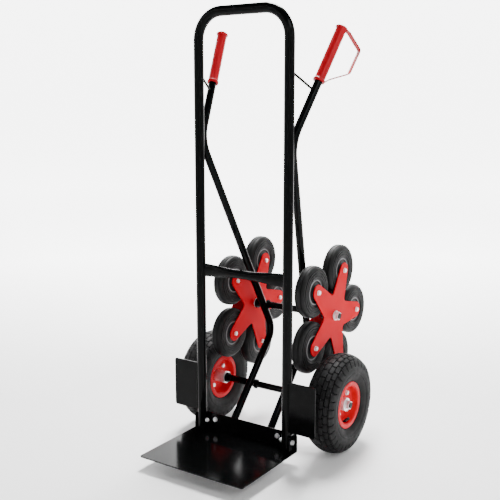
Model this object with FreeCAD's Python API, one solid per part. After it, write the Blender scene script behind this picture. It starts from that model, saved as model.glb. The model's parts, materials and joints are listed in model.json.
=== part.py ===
import FreeCAD, Part
import math

# Stair climbing trolley. Millimetres, +Z up, toe plate towards -Y, left is -X.
# The driving dimensions below measure Y from the plane of the hoop's two legs.
# At the end every piece moves by ORIGIN_SHIFT, so the origin is the bottom centre of the whole trolley.

# cutting tools reach this far past the faces they cut; big trimming blocks have this edge
CUT_SPARE = 1.0
TRIM_BLOCK = 200.0

# an edge this far from a plate's foot or root is one of its free corners
FREE_CORNER_FROM = 10.0

# hoop frame
TUBE_R = 12.5
TUBE_WALL = 1.6
LEG_X = 132.5
HOOP_TOP_Z = 1118.0
HOOP_BEND_R = 68.0

# cross tube between the legs
CROSS_Z = 472.0
CROSS_R = 11.0
CROSS_END_HEIGHT = 34.0
CROSS_END_DEPTH = 9.0
ROUND_MARGIN = 0.01
CROSS_STATIONS = ((1.0, 1.0), (0.8, 0.96), (0.55, 0.55), (0.3, 0.12))

# handle tubes, as corners of the right-hand centreline
HANDLE_R = 10.0
HANDLE_WALL = 1.5
KNEE_UPPER = (134.5, 10.0, 806.4)
KNEE_LOWER = (57.0, 231.0, 269.0)
KNEE_UPPER_R = 85.0
KNEE_LOWER_R = 50.0
HANDLE_FOOT = (58.0, 12.0, 27.0)
HANDLE_FOOT_Z = 40.0
GRIP_HIGH = (179.0, 165.0, 1077.0)
GRIP_LENGTH = 148.7

# grips and hand guards
GRIP_R = 13.0
COLLAR_R = 15.0
COLLAR_LENGTH = 6.0
END_R = 15.5
END_LENGTH = 4.0
GRIP_CAP = 3.0
GUARD_WIDTH = 14.0
GUARD_THICK = 2.4
GUARD_LEAN = (0.56, 0.83, 0.0)
GUARD_POINTS = ((13.0, 3.0), (22.0, 17.0), (64.0, 57.0), (65.5, 124.0), (22.0, 148.0), (10.0, 150.2))
GUARD_BEND_R = 9.0

# brace rods between the legs and the handle tubes
BRACE_R = 3.0
BRACE_LEG_Z = 972.0
BRACE_TUBE_Z = 927.0

# toe plate
PLATE_THICK = 3.0
TOE_HALF_WIDTH = 155.0
TOE_LENGTH = 230.0
TOE_UNDER_Z = 31.0
TOE_CORNER_R = 6.0
FLANGE_TOP_Z = 78.0
EAR_FRONT_Y = -13.0

# wheel guards
SHIELD_Y = -7.0
SHIELD_THICK = 2.5
SHIELD_OUTER_X = 218.0
SHIELD_LOW_Z = 88.0
SHIELD_HIGH_Z = 219.0
SHIELD_CORNER_R = 6.0

# strap that ties the handle tubes to the toe plate's flange
STRAP_THICK = 4.0
STRAP_HALF_WIDTH = 112.0
STRAP_LOW_Z = 44.0
STRAP_HIGH_Z = 74.0

# bolts, M6
SIDE_BOLT_Z = 60.0
FLANGE_BOLT_X = 98.0
FLANGE_BOLT_Z = 62.0
FLANGE_HOLE_FROM_Y = -10.0
FLANGE_HOLE_LENGTH = 60.0
BOLT_R = 3.0
HEAD_R = 5.8
HEAD_HEIGHT = 4.0
NUT_HEIGHT = 5.0
WASHER_R = 6.4
WASHER_THICK = 1.2
FRAME_BOLT_TIP = 2.5
STAR_BOLT_TIP = 1.5

# axles
AXLE_R = 8.0
AXLE_BODY_R = 9.25
RUNNING_GAP = 0.05
END_GAP = 0.4
AXLE_COLLAR_R = 14.0
AXLE_COLLAR_LENGTH = 6.0
AXLE_WASHER_R = 12.5
AXLE_WASHER_THICK = 2.0
AXLE_NUT_R = 11.5
AXLE_NUT_HEIGHT = 8.0
AXLE_TIP = 1.6
LUG_THICK = 5.0
LUG_HALF_WIDTH = 8.0
LUG_EYE_R = 13.0

# pneumatic wheels, 260 mm over the tyre on a 4 inch rim
WHEEL_X = 200.5
WHEEL_Y = 148.0
TYRE_R = 130.0
TYRE_HALF_WIDTH = 41.0
BEAD_SEAT_R = 50.8
RIM_LIP_R = 60.0
RIM_LIP_X = 29.5
RIM_SHEET = 2.2
RIM_DISC_X = 8.0
RIM_KNEE_IN = 1.2
RIM_KNEE_OUT = 3.5
RIM_KNEE_DEPTH = 7.0
HUB_R = 17.0
HUB_WALL = 4.5
HUB_INNER_REACH = 43.5
HUB_OUTER_REACH = 24.0
BEARING_R = 14.5
BEARING_WIDTH = 11.0
RIM_BOLT_CIRCLE_R = 32.0
RIM_BOLT_COUNT = 4
RIM_BOLT_PHASE = 45.0
RIM_HOLE_LENGTH = 20.0
SPACER_R = 7.0
TYRE_BEAD_X = 22.0
TYRE_SIDE_R = 90.0
TYRE_INNER_SIDE_R = 88.0
TYRE_SHOULDER = (35.0, 118.0)
TYRE_INNER_SHOULDER = (27.0, 111.0)
TYRE_WALL = 7.0
TREAD_THICK = 12.0
BEAD_GAP = 1.0

# air tubes inside the tyres, with their valve stems
AIR_TUBE_CENTRE_R = 83.0
AIR_TUBE_HALF_WIDTH = 20.0
AIR_TUBE_HALF_HEIGHT = 29.0
AIR_TUBE_SKIN = 1.8
VALVE_R = 4.0
VALVE_BORE_R = 1.2
VALVE_LENGTH = 36.0
VALVE_FOOT_X = 4.0
VALVE_FOOT_R = 61.0
VALVE_LEAN = (0.72, 0.0, 0.69)
VALVE_CUT_LENGTH = 60.0
VALVE_CUT_BACK = 10.0

# star clusters
STAR_X = 126.3
STAR_Z = 340.0
ARM_COUNT = 5
ARM_RADIUS = 124.0
ARM_PHASE = 22.3
ARM_TIP_R = 21.0
CROTCH_R = 57.0
CROTCH_FILLET_R = 9.0
CROTCH_TOLERANCE = 0.5
STAR_PLATE_X = 17.0
STAR_HUB_R = 13.0
STAR_HUB_REACH = 22.0

# star wheels
STAR_WHEEL_R = 68.0
STAR_TYRE_HALF_WIDTH = 16.0
STAR_SIDE_LOW_R = 44.0
STAR_SIDE_HIGH_R = 50.0
STAR_EDGE_R = 57.0
STAR_EDGE_INSET = 1.5
STAR_SHOULDER_BEND = (12.2, 64.0)
STAR_TREAD_FLAT_X = 6.0
STAR_BEAD_INSET = 3.0
STAR_CORE_R = 36.0
STAR_CORE_LIP_R = 33.0
STAR_CORE_FACE_R = 32.0
STAR_CORE_HALF_WIDTH = 16.5
STAR_CORE_FACE_HALF = 11.0
STAR_CORE_BOSS_R = 13.0

X_AXIS = FreeCAD.Vector(1, 0, 0)
Y_AXIS = FreeCAD.Vector(0, 1, 0)
Z_AXIS = FreeCAD.Vector(0, 0, 1)


def vec(point):
    return FreeCAD.Vector(*point)


def star_axis_y():
    """The star axle rests against the back of both handle tubes."""
    rise = KNEE_UPPER[2] - KNEE_LOWER[2]
    run = KNEE_LOWER[1] - KNEE_UPPER[1]
    tube_y = KNEE_UPPER[1] + run * (KNEE_UPPER[2] - STAR_Z) / rise
    return tube_y + (HANDLE_R + AXLE_BODY_R) * math.hypot(rise, run) / rise


STAR_Y = star_axis_y()
TOE_FRONT_Y = -TOE_LENGTH
REAR_ARM = math.radians(ARM_PHASE + 360.0 / ARM_COUNT)
REAR_Y = STAR_Y + ARM_RADIUS * math.sin(REAR_ARM) + STAR_WHEEL_R
ORIGIN_SHIFT = FreeCAD.Vector(0, -(TOE_FRONT_Y + REAR_Y) / 2, 0)


def save(name, *shapes):
    moved = []
    for shape in shapes:
        copy = shape.copy()
        copy.translate(ORIGIN_SHIFT)
        moved.append(copy)
    result = moved[0] if len(moved) == 1 else Part.makeCompound(moved)
    result.exportStep("parts/" + name + ".step")


def mirrored(shape):
    return shape.mirror(FreeCAD.Vector(0, 0, 0), X_AXIS)


def x_cylinder(radius, low_x, high_x, y, z):
    return Part.makeCylinder(radius, high_x - low_x, FreeCAD.Vector(low_x, y, z), X_AXIS)


def x_hexagon(across_corners_r, low_x, high_x, y, z):
    corners = []
    for step in range(7):
        angle = math.radians(60 * step)
        corners.append(FreeCAD.Vector(low_x, y + across_corners_r * math.sin(angle),
                                      z + across_corners_r * math.cos(angle)))
    return Part.Face(Part.makePolygon(corners)).extrude(FreeCAD.Vector(high_x - low_x, 0, 0))


def turned(shape, angle, y, z):
    copy = shape.copy()
    copy.rotate(FreeCAD.Vector(0, y, z), X_AXIS, angle)
    return copy


def rounded_path(points, radii):
    """Straight runs joined by tangent arcs of the given radii."""
    edges = []
    last = points[0]
    for before, corner, after, radius in zip(points, points[1:], points[2:], radii):
        back = (before - corner).normalize()
        onward = (after - corner).normalize()
        half_turn = (math.pi - back.getAngle(onward)) / 2
        reach = radius * math.tan(half_turn)
        start = corner + back * reach
        end = corner + onward * reach
        bisector = (back + onward).normalize()
        middle = corner + bisector * (radius / math.cos(half_turn) - radius)
        edges.append(Part.LineSegment(last, start).toShape())
        edges.append(Part.Arc(start, middle, end).toShape())
        last = end
    edges.append(Part.LineSegment(last, points[-1]).toShape())
    return Part.Wire(edges)


def swept_rod(path, start, direction, radius):
    ring = Part.Wire(Part.makeCircle(radius, start, direction))
    return path.makePipeShell([ring], True, False)


def revolved(profile_edges, x, y, z):
    """Turn a closed profile, drawn as (along X, radius) edges, about the X axis through y, z."""
    face = Part.Face(Part.Wire(profile_edges))
    solid = face.revolve(FreeCAD.Vector(0, 0, 0), X_AXIS, 360)
    solid.translate(FreeCAD.Vector(x, y, z))
    return solid


def profile(*steps):
    """Closed profile in the XZ plane: a 2-tuple is a corner, a 4-tuple is an arc through the first pair."""
    edges = []
    last = FreeCAD.Vector(steps[0][-2], 0, steps[0][-1])
    for step in steps[1:] + steps[:1]:
        end = FreeCAD.Vector(step[-2], 0, step[-1])
        if len(step) == 4:
            edges.append(Part.Arc(last, FreeCAD.Vector(step[0], 0, step[1]), end).toShape())
        else:
            edges.append(Part.LineSegment(last, end).toShape())
        last = end
    return edges


# ---- frame ----

def leg_rods(radius):
    top = HOOP_TOP_Z
    bottom = TOE_UNDER_Z + PLATE_THICK
    points = [FreeCAD.Vector(-LEG_X, 0, bottom), FreeCAD.Vector(-LEG_X, 0, top),
              FreeCAD.Vector(LEG_X, 0, top), FreeCAD.Vector(LEG_X, 0, bottom)]
    path = rounded_path(points, [HOOP_BEND_R, HOOP_BEND_R])
    return swept_rod(path, points[0], Z_AXIS, radius)


def handle_points():
    return [vec(GRIP_HIGH), vec(KNEE_UPPER), vec(KNEE_LOWER), vec(HANDLE_FOOT)]


def handle_rod(radius):
    points = handle_points()
    path = rounded_path(points, [KNEE_UPPER_R, KNEE_LOWER_R])
    return swept_rod(path, points[0], points[1] - points[0], radius)


def side_bolt_hole():
    return x_cylinder(BOLT_R, -LEG_X - 3 * TUBE_R, LEG_X + 3 * TUBE_R, 0, SIDE_BOLT_Z)


def hoop_frame():
    return leg_rods(TUBE_R).cut(leg_rods(TUBE_R - TUBE_WALL)).cut(side_bolt_hole())


def cross_section(x, half_height, half_depth):
    big, small = max(half_height, half_depth), min(half_height, half_depth)
    ellipse = Part.Ellipse(FreeCAD.Vector(0, 0, 0), big, small)
    wire = Part.Wire(ellipse.toShape())
    wire.Placement = FreeCAD.Placement(FreeCAD.Vector(x, 0, CROSS_Z),
                                       FreeCAD.Rotation(Z_AXIS, Y_AXIS, X_AXIS, "XYZ"))
    return wire


def cross_tube():
    """Round in the middle and pressed flat towards both legs, where it is welded on."""
    sections = []
    for share, flat in CROSS_STATIONS:
        half_height = CROSS_R + flat * (CROSS_END_HEIGHT / 2 - CROSS_R) + ROUND_MARGIN
        half_depth = CROSS_R + flat * (CROSS_END_DEPTH / 2 - CROSS_R)
        sections.append((LEG_X * share, half_height, half_depth))
    wires = [cross_section(-x, h, d) for x, h, d in sections]
    wires.append(cross_section(0, CROSS_R + ROUND_MARGIN, CROSS_R))
    wires += [cross_section(x, h, d) for x, h, d in reversed(sections)]
    return Part.makeLoft(wires, True).cut(leg_rods(TUBE_R))


def handle_tube():
    tube = handle_rod(HANDLE_R).cut(handle_rod(HANDLE_R - HANDLE_WALL))
    front = PLATE_THICK + TUBE_R + STRAP_THICK
    block = (TRIM_BLOCK, TRIM_BLOCK, TRIM_BLOCK)
    trim_front = Part.makeBox(*block, FreeCAD.Vector(0, front - TRIM_BLOCK, -TRIM_BLOCK / 4))
    trim_low = Part.makeBox(*block, FreeCAD.Vector(0, -TRIM_BLOCK / 4, HANDLE_FOOT_Z - TRIM_BLOCK))
    tube = tube.cut(trim_front).cut(trim_low)
    return max(tube.Solids, key=lambda solid: solid.Volume).cut(leg_rods(TUBE_R))


def brace_rod():
    start = FreeCAD.Vector(LEG_X, 0, BRACE_LEG_Z + BRACE_R)
    share = (BRACE_TUBE_Z - KNEE_UPPER[2]) / (GRIP_HIGH[2] - KNEE_UPPER[2])
    end = vec(KNEE_UPPER) + (vec(GRIP_HIGH) - vec(KNEE_UPPER)) * share
    rod = Part.makeCylinder(BRACE_R, (end - start).Length, start, end - start)
    rod = rod.cut(leg_rods(TUBE_R)).cut(handle_rod(HANDLE_R))
    return max(rod.Solids, key=lambda solid: solid.Volume)


def lower_strap():
    depth_y = TUBE_R + PLATE_THICK
    strap = Part.makeBox(2 * STRAP_HALF_WIDTH, STRAP_THICK, STRAP_HIGH_Z - STRAP_LOW_Z,
                         FreeCAD.Vector(-STRAP_HALF_WIDTH, depth_y, STRAP_LOW_Z))
    return strap.cut(flange_bolt_holes())


def flange_bolt_holes():
    holes = []
    for x in (-FLANGE_BOLT_X, FLANGE_BOLT_X):
        start = FreeCAD.Vector(x, FLANGE_HOLE_FROM_Y, FLANGE_BOLT_Z)
        holes.append(Part.makeCylinder(BOLT_R, FLANGE_HOLE_LENGTH, start, Y_AXIS))
    return Part.makeCompound(holes)


def axle_lug(y, z, x):
    """A short plate from the handle tube's underside to the axle that it carries."""
    upper, lower = vec(KNEE_UPPER), vec(KNEE_LOWER)
    run_a, run_b = (upper, lower) if z > KNEE_LOWER[2] else (lower, vec(HANDLE_FOOT))
    axle = FreeCAD.Vector(x, y, z)
    along = FreeCAD.Vector(0, run_b.y - run_a.y, run_b.z - run_a.z).normalize()
    offset = FreeCAD.Vector(0, run_a.y - y, run_a.z - z)
    foot = offset - along * offset.dot(along)
    side = along * LUG_HALF_WIDTH
    start = axle - FreeCAD.Vector(LUG_THICK / 2, 0, 0)
    corners = [start + side, start + side + foot, start - side + foot, start - side, start + side]
    web = Part.Face(Part.makePolygon(corners)).extrude(FreeCAD.Vector(LUG_THICK, 0, 0))
    eye = x_cylinder(LUG_EYE_R, x - LUG_THICK / 2, x + LUG_THICK / 2, y, z)
    lug = web.fuse(eye).removeSplitter().cut(handle_rod(HANDLE_R))
    lug = lug.cut(x_cylinder(AXLE_BODY_R, x - LUG_THICK, x + LUG_THICK, y, z))
    return max(lug.Solids, key=lambda solid: solid.Volume)


def star_lug_x():
    share = (KNEE_UPPER[2] - STAR_Z) / (KNEE_UPPER[2] - KNEE_LOWER[2])
    return KNEE_UPPER[0] + share * (KNEE_LOWER[0] - KNEE_UPPER[0])


# ---- toe plate and wheel guards ----

def rounded_box(low, size, edge_axis, radius, keep=lambda centre: True):
    box = Part.makeBox(*size, FreeCAD.Vector(*low))
    edges = []
    for edge in box.Edges:
        direction = (edge.Vertexes[1].Point - edge.Vertexes[0].Point).normalize()
        if abs(direction.dot(edge_axis)) > 0.99 and keep(edge.CenterOfMass):
            edges.append(edge)
    return box.makeFillet(radius, edges)


def toe_plate():
    rear_y = TUBE_R + PLATE_THICK
    width = 2 * TOE_HALF_WIDTH
    base = rounded_box((-TOE_HALF_WIDTH, TOE_FRONT_Y, TOE_UNDER_Z),
                       (width, rear_y - TOE_FRONT_Y, PLATE_THICK),
                       Z_AXIS, TOE_CORNER_R, lambda centre: centre.y < 0)
    flange = rounded_box((-TOE_HALF_WIDTH, TUBE_R, TOE_UNDER_Z),
                         (width, PLATE_THICK, FLANGE_TOP_Z - TOE_UNDER_Z),
                         Y_AXIS, TOE_CORNER_R, lambda centre: centre.z > TOE_UNDER_Z + FREE_CORNER_FROM)
    plate = base.fuse(flange)
    for side in (-1, 1):
        inner = LEG_X + TUBE_R
        low_x = inner if side > 0 else -inner - PLATE_THICK
        ear = rounded_box((low_x, EAR_FRONT_Y, TOE_UNDER_Z),
                          (PLATE_THICK, TUBE_R - EAR_FRONT_Y, FLANGE_TOP_Z - TOE_UNDER_Z),
                          X_AXIS, TOE_CORNER_R,
                          lambda centre: centre.y < 0 and centre.z > TOE_UNDER_Z + FREE_CORNER_FROM)
        plate = plate.fuse(ear)
    return plate.removeSplitter().cut(flange_bolt_holes()).cut(side_bolt_hole())


def wheel_guard():
    size = (SHIELD_OUTER_X - LEG_X, SHIELD_THICK, SHIELD_HIGH_Z - SHIELD_LOW_Z)
    plate = rounded_box((LEG_X, SHIELD_Y - SHIELD_THICK / 2, SHIELD_LOW_Z), size,
                        Y_AXIS, SHIELD_CORNER_R, lambda centre: centre.x > LEG_X + FREE_CORNER_FROM)
    return max(plate.cut(leg_rods(TUBE_R)).Solids, key=lambda solid: solid.Volume)


# ---- frame fasteners ----

def screw(shank_length):
    """Hexagon bolt along +X, with its washer's inner face at x = 0 and its head on the -X side."""
    head = x_hexagon(HEAD_R, -WASHER_THICK - HEAD_HEIGHT, -WASHER_THICK, 0, 0)
    washer = x_cylinder(WASHER_R, -WASHER_THICK, 0, 0, 0)
    shank = x_cylinder(BOLT_R, -WASHER_THICK, shank_length, 0, 0)
    return head.fuse(washer).fuse(shank)


def nut(height=NUT_HEIGHT):
    bore = x_cylinder(BOLT_R, -CUT_SPARE, height + CUT_SPARE, 0, 0)
    return x_hexagon(HEAD_R, 0, height, 0, 0).cut(bore)


def placed(shape, origin, direction):
    copy = shape.copy()
    turn = FreeCAD.Rotation(X_AXIS, FreeCAD.Vector(*direction))
    copy.Placement = FreeCAD.Placement(FreeCAD.Vector(*origin), turn)
    return copy


def frame_bolts():
    side_grip = PLATE_THICK + 2 * TUBE_R
    flange_grip = PLATE_THICK + STRAP_THICK
    tip = NUT_HEIGHT + FRAME_BOLT_TIP
    bolts = []
    for side in (-1, 1):
        ear_seat = (side * (LEG_X + TUBE_R + PLATE_THICK), 0, SIDE_BOLT_Z)
        flange_seat = (side * FLANGE_BOLT_X, TUBE_R, FLANGE_BOLT_Z)
        bolts.append(placed(screw(side_grip + tip), ear_seat, (-side, 0, 0)))
        bolts.append(placed(screw(flange_grip + tip), flange_seat, (0, 1, 0)))
    return bolts


def frame_nuts():
    nuts = []
    for side in (-1, 1):
        nuts.append(placed(nut(), (side * (LEG_X - TUBE_R), 0, SIDE_BOLT_Z), (-side, 0, 0)))
        back_y = TUBE_R + PLATE_THICK + STRAP_THICK
        nuts.append(placed(nut(), (side * FLANGE_BOLT_X, back_y, FLANGE_BOLT_Z), (0, 1, 0)))
    return nuts


# ---- grips ----

def grip_axes():
    """Unit vectors of the right-hand grip: along it, towards its guard, and across the guard."""
    along = (vec(GRIP_HIGH) - vec(KNEE_UPPER)).normalize()
    lean = vec(GUARD_LEAN)
    outward = (lean - along * lean.dot(along)).normalize()
    return along, outward, along.cross(outward)


def grip():
    along = grip_axes()[0]
    start = vec(GRIP_HIGH) - along * GRIP_LENGTH
    body = Part.makeCylinder(GRIP_R, GRIP_LENGTH, start, along)
    collar = Part.makeCylinder(COLLAR_R, COLLAR_LENGTH, start, along)
    end = Part.makeCylinder(END_R, END_LENGTH, vec(GRIP_HIGH) - along * (END_LENGTH - GRIP_CAP), along)
    return body.fuse(collar).fuse(end).removeSplitter().cut(handle_rod(HANDLE_R))


def hand_guard():
    """A flat strap that runs from the grip's collar round the knuckles to the grip's end."""
    along, outward, across = grip_axes()
    start = vec(GRIP_HIGH) - along * GRIP_LENGTH
    points = [start + outward * out + along * up for out, up in GUARD_POINTS]
    path = rounded_path(points, [GUARD_BEND_R] * (len(points) - 2))
    first = (points[1] - points[0]).normalize()
    normal = first.cross(across) * (GUARD_THICK / 2)
    half = across * (GUARD_WIDTH / 2)
    corners = [points[0] + normal + half, points[0] + normal - half,
               points[0] - normal - half, points[0] - normal + half]
    section = Part.makePolygon(corners + corners[:1])
    shell = Part.BRepOffsetAPI.MakePipeShell(path)
    shell.setBiNormalMode(across)
    shell.add(section)
    shell.build()
    shell.makeSolid()
    strap = shell.shape().cut(grip()).cut(handle_rod(HANDLE_R))
    return max(strap.Solids, key=lambda solid: solid.Volume)


# ---- axles ----

def wheel_axle_reach():
    return WHEEL_X + HUB_OUTER_REACH + END_GAP + AXLE_WASHER_THICK + AXLE_NUT_HEIGHT + AXLE_TIP


def star_axle_reach():
    return STAR_X + STAR_HUB_REACH + END_GAP + AXLE_WASHER_THICK + AXLE_NUT_HEIGHT + AXLE_TIP


def stepped_axle(reach, inner_face, y, z):
    """A thick body between the collars, with a thinner journal for the hub at each end."""
    body = inner_face - END_GAP - AXLE_COLLAR_LENGTH
    return x_cylinder(AXLE_R, -reach, reach, y, z).fuse(x_cylinder(AXLE_BODY_R, -body, body, y, z))


def ring(outer, inner, low_x, high_x, y, z):
    bore = x_cylinder(inner, low_x - CUT_SPARE, high_x + CUT_SPARE, y, z)
    return x_cylinder(outer, low_x, high_x, y, z).cut(bore)


def axle_sets():
    """Centre and hub faces of the two axles: y, z, inner hub face, outer hub face."""
    return ((WHEEL_Y, TYRE_R, WHEEL_X - HUB_INNER_REACH, WHEEL_X + HUB_OUTER_REACH),
            (STAR_Y, STAR_Z, STAR_X - STAR_HUB_REACH, STAR_X + STAR_HUB_REACH))


def axle_collars():
    collars = []
    for y, z, inner, _ in axle_sets():
        high_x = inner - END_GAP
        collars.append(ring(AXLE_COLLAR_R, AXLE_R, high_x - AXLE_COLLAR_LENGTH, high_x, y, z))
    return collars + [mirrored(collar) for collar in collars]


def axle_washers():
    washers = []
    for y, z, _, outer in axle_sets():
        low_x = outer + END_GAP
        washers.append(ring(AXLE_WASHER_R, AXLE_R, low_x, low_x + AXLE_WASHER_THICK, y, z))
    return washers + [mirrored(washer) for washer in washers]


def axle_nuts():
    nuts = []
    for y, z, _, outer in axle_sets():
        low_x = outer + END_GAP + AXLE_WASHER_THICK
        high_x = low_x + AXLE_NUT_HEIGHT
        bore = x_cylinder(AXLE_R, low_x - CUT_SPARE, high_x + CUT_SPARE, y, z)
        nuts.append(x_hexagon(AXLE_NUT_R, low_x, high_x, y, z).cut(bore))
    return nuts + [mirrored(one) for one in nuts]


# ---- pneumatic wheels, made for the right side ----

def tyre():
    half, seat, bead, lip = TYRE_HALF_WIDTH, BEAD_SEAT_R, TYRE_BEAD_X, RIM_LIP_X
    outer_x, outer_r = TYRE_SHOULDER
    inner_x, inner_r = TYRE_INNER_SHOULDER
    wall_x, wall_r = half - TYRE_WALL, TYRE_INNER_SIDE_R
    return revolved(profile(
        (-bead, seat), (-lip, seat), (-lip, RIM_LIP_R + BEAD_GAP),
        (-half, TYRE_SIDE_R, -outer_x, outer_r), (0.0, TYRE_R, outer_x, outer_r),
        (half, TYRE_SIDE_R, lip, RIM_LIP_R + BEAD_GAP), (lip, seat), (bead, seat), (bead, RIM_LIP_R),
        (wall_x, wall_r, inner_x, inner_r), (0.0, TYRE_R - TREAD_THICK, -inner_x, inner_r),
        (-wall_x, wall_r, -bead, RIM_LIP_R)),
        WHEEL_X, WHEEL_Y, TYRE_R)


def valve_rod(radius, length, back=0.0):
    """A rod on the valve stem's line, which leans from the air tube out past the rim's disc."""
    foot = FreeCAD.Vector(WHEEL_X + VALVE_FOOT_X, WHEEL_Y, TYRE_R - VALVE_FOOT_R)
    lean = vec(VALVE_LEAN).normalize()
    return Part.makeCylinder(radius, length, foot - lean * back, lean)


def inner_tube():
    """Ring-shaped air tube with its valve stem, which passes through the outer rim half."""
    centre = AIR_TUBE_CENTRE_R
    shells = []
    for inset in (0.0, AIR_TUBE_SKIN):
        across = AIR_TUBE_HALF_WIDTH - inset
        up = AIR_TUBE_HALF_HEIGHT - inset
        shells.append(revolved(profile(
            (0.0, centre - up, -across, centre), (0.0, centre + up, across, centre)),
            WHEEL_X, WHEEL_Y, TYRE_R))
    stem = valve_rod(VALVE_R, VALVE_LENGTH)
    bore = valve_rod(VALVE_BORE_R, VALVE_CUT_LENGTH, VALVE_CUT_BACK)
    return shells[0].fuse(stem).cut(shells[1]).cut(bore)


def rim_half():
    """Pressed disc welded into half of the rim's barrel, for the outer side."""
    seat, sheet, disc = BEAD_SEAT_R, RIM_SHEET, RIM_DISC_X
    lip = RIM_LIP_X
    knee_r = seat - RIM_KNEE_DEPTH
    half = revolved(profile(
        (0.0, seat), (lip, seat), (lip, RIM_LIP_R), (lip + sheet, RIM_LIP_R), (lip + sheet, seat - sheet),
        (disc + RIM_KNEE_OUT, seat - sheet), (disc + sheet, knee_r), (disc + sheet, HUB_R), (disc, HUB_R),
        (disc, knee_r), (disc + RIM_KNEE_IN, seat - sheet), (0.0, seat - sheet)),
        WHEEL_X, WHEEL_Y, TYRE_R)
    for angle in rim_bolt_angles():
        hole = x_cylinder(BOLT_R, WHEEL_X, WHEEL_X + RIM_HOLE_LENGTH, WHEEL_Y, TYRE_R + RIM_BOLT_CIRCLE_R)
        half = half.cut(turned(hole, angle, WHEEL_Y, TYRE_R))
    return half


def rim_bolt_angles():
    return [RIM_BOLT_PHASE + step * 360.0 / RIM_BOLT_COUNT for step in range(RIM_BOLT_COUNT)]


def rim_inner():
    outer = rim_half()
    return outer.mirror(FreeCAD.Vector(WHEEL_X, 0, 0), X_AXIS)


def wheel_hub():
    low, high = WHEEL_X - HUB_INNER_REACH, WHEEL_X + HUB_OUTER_REACH
    barrel = ring(HUB_R, HUB_R - HUB_WALL, low, high, WHEEL_Y, TYRE_R)
    seats = (low, high - BEARING_WIDTH)
    bearings = []
    for seat in seats:
        barrel = barrel.cut(x_cylinder(BEARING_R, seat, seat + BEARING_WIDTH, WHEEL_Y, TYRE_R))
        bearings.append(ring(BEARING_R, AXLE_R + RUNNING_GAP, seat, seat + BEARING_WIDTH, WHEEL_Y, TYRE_R))
    return [barrel] + bearings


def rim_bolts():
    """Four bolts with nuts, and the sleeves that keep the two rim discs apart."""
    face = RIM_DISC_X + RIM_SHEET
    y, z = WHEEL_Y, TYRE_R + RIM_BOLT_CIRCLE_R
    bolt = placed(screw(2 * face + WASHER_THICK + NUT_HEIGHT), (WHEEL_X + face, y, z), (-1, 0, 0))
    one_nut = placed(nut(), (WHEEL_X - face, y, z), (-1, 0, 0))
    sleeve = ring(SPACER_R, BOLT_R, WHEEL_X - RIM_DISC_X, WHEEL_X + RIM_DISC_X, y, z)
    pieces = []
    for angle in rim_bolt_angles():
        for piece in (bolt, one_nut, sleeve):
            pieces.append(turned(piece, angle, WHEEL_Y, TYRE_R))
    return pieces


# ---- star clusters, made for the right side ----

def arm_angle(index):
    return math.radians(ARM_PHASE + index * 360.0 / ARM_COUNT)


def star_point(radius, angle, x=0.0):
    return FreeCAD.Vector(x, STAR_Y + radius * math.sin(angle), STAR_Z + radius * math.cos(angle))


def star_outline(x):
    """Five tapering arms with round tips, joined by filleted crotches."""
    pitch = 2 * math.pi / ARM_COUNT
    edges = []
    first = None
    last = None
    for index in range(ARM_COUNT):
        middle = arm_angle(index)
        crotch = star_point(CROTCH_R, middle - pitch / 2, x)
        tip = star_point(ARM_RADIUS, middle, x)
        distance = (tip - crotch).Length
        # the straight edge is tangent to the tip's circle, seen from the crotch corner
        swing = math.acos(ARM_TIP_R / distance)
        to_crotch = math.atan2(crotch.z - tip.z, crotch.y - tip.y)
        near = to_crotch - swing
        side_a = tip + FreeCAD.Vector(0, math.cos(near), math.sin(near)) * ARM_TIP_R
        side_b = mirrored_across_arm(side_a, tip)
        if last is not None:
            edges.append(Part.LineSegment(last, crotch).toShape())
        else:
            first = crotch
        edges.append(Part.LineSegment(crotch, side_a).toShape())
        edges.append(Part.Arc(side_a, star_point(ARM_RADIUS + ARM_TIP_R, middle, x), side_b).toShape())
        last = side_b
    edges.append(Part.LineSegment(last, first).toShape())
    return Part.Wire(edges)


def mirrored_across_arm(point, tip):
    """Mirror a point of an arm's side to the arm's other side."""
    centre = star_point(0.0, 0.0, tip.x)
    along = (tip - centre).normalize()
    offset = point - centre
    return centre + along * (2 * offset.dot(along)) - offset


def star_plate(low_x, high_x):
    face = Part.Face(star_outline(low_x))
    plate = face.extrude(FreeCAD.Vector(high_x - low_x, 0, 0))
    crotch_edges = []
    for edge in plate.Edges:
        middle = edge.CenterOfMass
        radius = math.hypot(middle.y - STAR_Y, middle.z - STAR_Z)
        if abs(radius - CROTCH_R) < CROTCH_TOLERANCE and edge.Length < 2 * PLATE_THICK:
            crotch_edges.append(edge)
    plate = plate.makeFillet(CROTCH_FILLET_R, crotch_edges)
    cut_from, cut_to = low_x - CUT_SPARE, high_x + CUT_SPARE
    plate = plate.cut(x_cylinder(STAR_HUB_R, cut_from, cut_to, STAR_Y, STAR_Z))
    for index in range(ARM_COUNT):
        centre = star_point(ARM_RADIUS, arm_angle(index))
        plate = plate.cut(x_cylinder(BOLT_R, cut_from, cut_to, centre.y, centre.z))
    return plate


def star_hub():
    return ring(STAR_HUB_R, AXLE_R + RUNNING_GAP, STAR_X - STAR_HUB_REACH, STAR_X + STAR_HUB_REACH,
                STAR_Y, STAR_Z)


def star_bolts():
    """Each arm's wheel bolt, with its head outside and its nut inside."""
    face = STAR_PLATE_X + PLATE_THICK
    pieces = []
    for index in range(ARM_COUNT):
        centre = star_point(ARM_RADIUS, arm_angle(index))
        bolt = screw(2 * face + NUT_HEIGHT + STAR_BOLT_TIP)
        pieces.append(placed(bolt, (STAR_X + face, centre.y, centre.z), (-1, 0, 0)))
        pieces.append(placed(nut(), (STAR_X - face, centre.y, centre.z), (-1, 0, 0)))
    return pieces


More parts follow.
